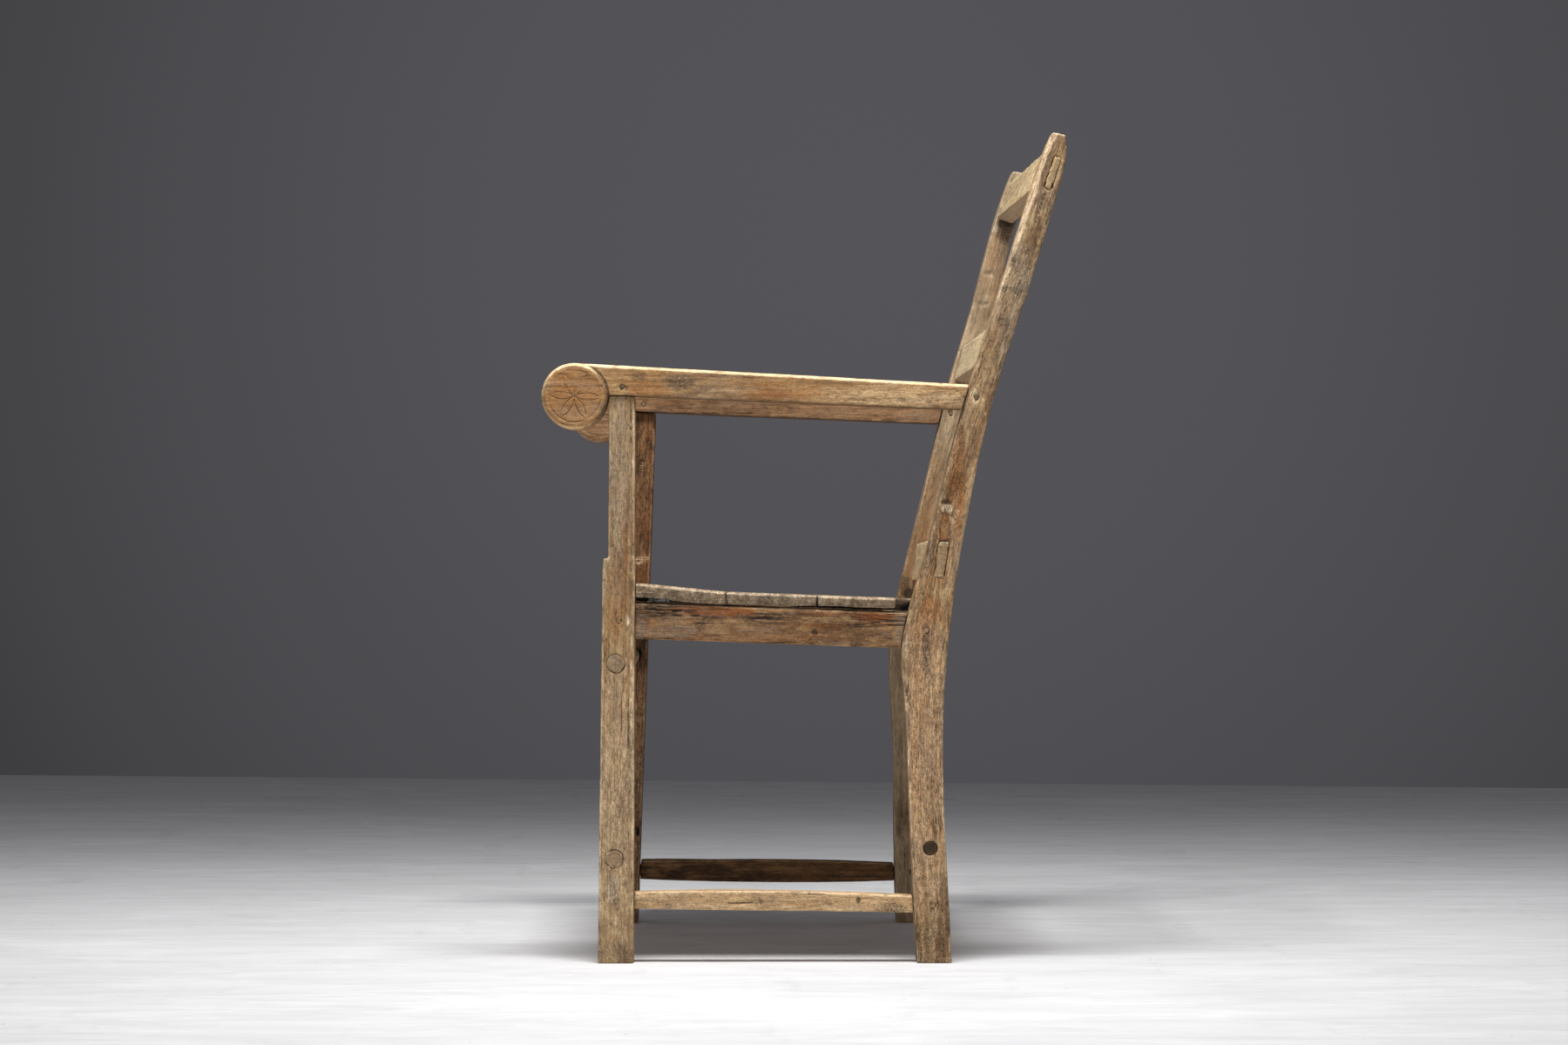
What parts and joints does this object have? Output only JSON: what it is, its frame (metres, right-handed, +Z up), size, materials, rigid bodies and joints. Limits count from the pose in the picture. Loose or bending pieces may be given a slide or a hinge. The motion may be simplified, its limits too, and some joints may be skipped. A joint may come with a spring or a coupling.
{
  "type": "rustic wooden armchair",
  "caption": "Rustic pegged wooden armchair with a plank seat, an open leaning back with cross rails, and straight arms that end in round discs.",
  "frame": {"origin": "on the floor, under the middle of the chair's bounding box", "axes": "+Z up, -Y towards the front of the chair, +X towards the sitter's left"},
  "size_m": [0.55, 0.605, 0.96],
  "materials": {
    "leg_wood": "weathered, worn bare, unvarnished",
    "post_wood": "weathered, worn bare, unvarnished",
    "arm_wood": "hand-polished by use, with grey patches",
    "seat_rail_wood": "darker, fissured, with orange patches",
    "seat_wood": "worn, with grey end grain",
    "pale_stretcher_wood": "pale, worn smooth",
    "dark_stretcher_wood": "dark brown, dull",
    "rung_wood": "hewn, with grey end grain",
    "back_rail_wood": "pale, dry",
    "peg_wood": "dark end grain",
    "nail_iron": "rusted black"
  },
  "bodies": {
    "root": {"left_front_leg": "leg_wood", "right_front_leg": "leg_wood", "left_rear_post": "post_wood", "right_rear_post": "post_wood", "left_arm": "arm_wood", "right_arm": "arm_wood", "left_side_rail": "seat_rail_wood", "right_side_rail": "seat_rail_wood", "seat_plank_front": "seat_wood", "seat_plank_middle": "seat_wood", "seat_plank_rear": "seat_wood", "left_stretcher": "pale_stretcher_wood", "right_stretcher": "dark_stretcher_wood", "front_upper_rung": "rung_wood", "front_lower_rung": "rung_wood", "rear_rung": "rung_wood", "crest_rail": "back_rail_wood", "middle_back_rail": "back_rail_wood", "lower_back_rail": "back_rail_wood", "arm_pegs": "peg_wood", "seat_rail_pegs": "peg_wood", "stretcher_pegs": "peg_wood", "seat_nails": "nail_iron"}
  },
  "joints": []
}
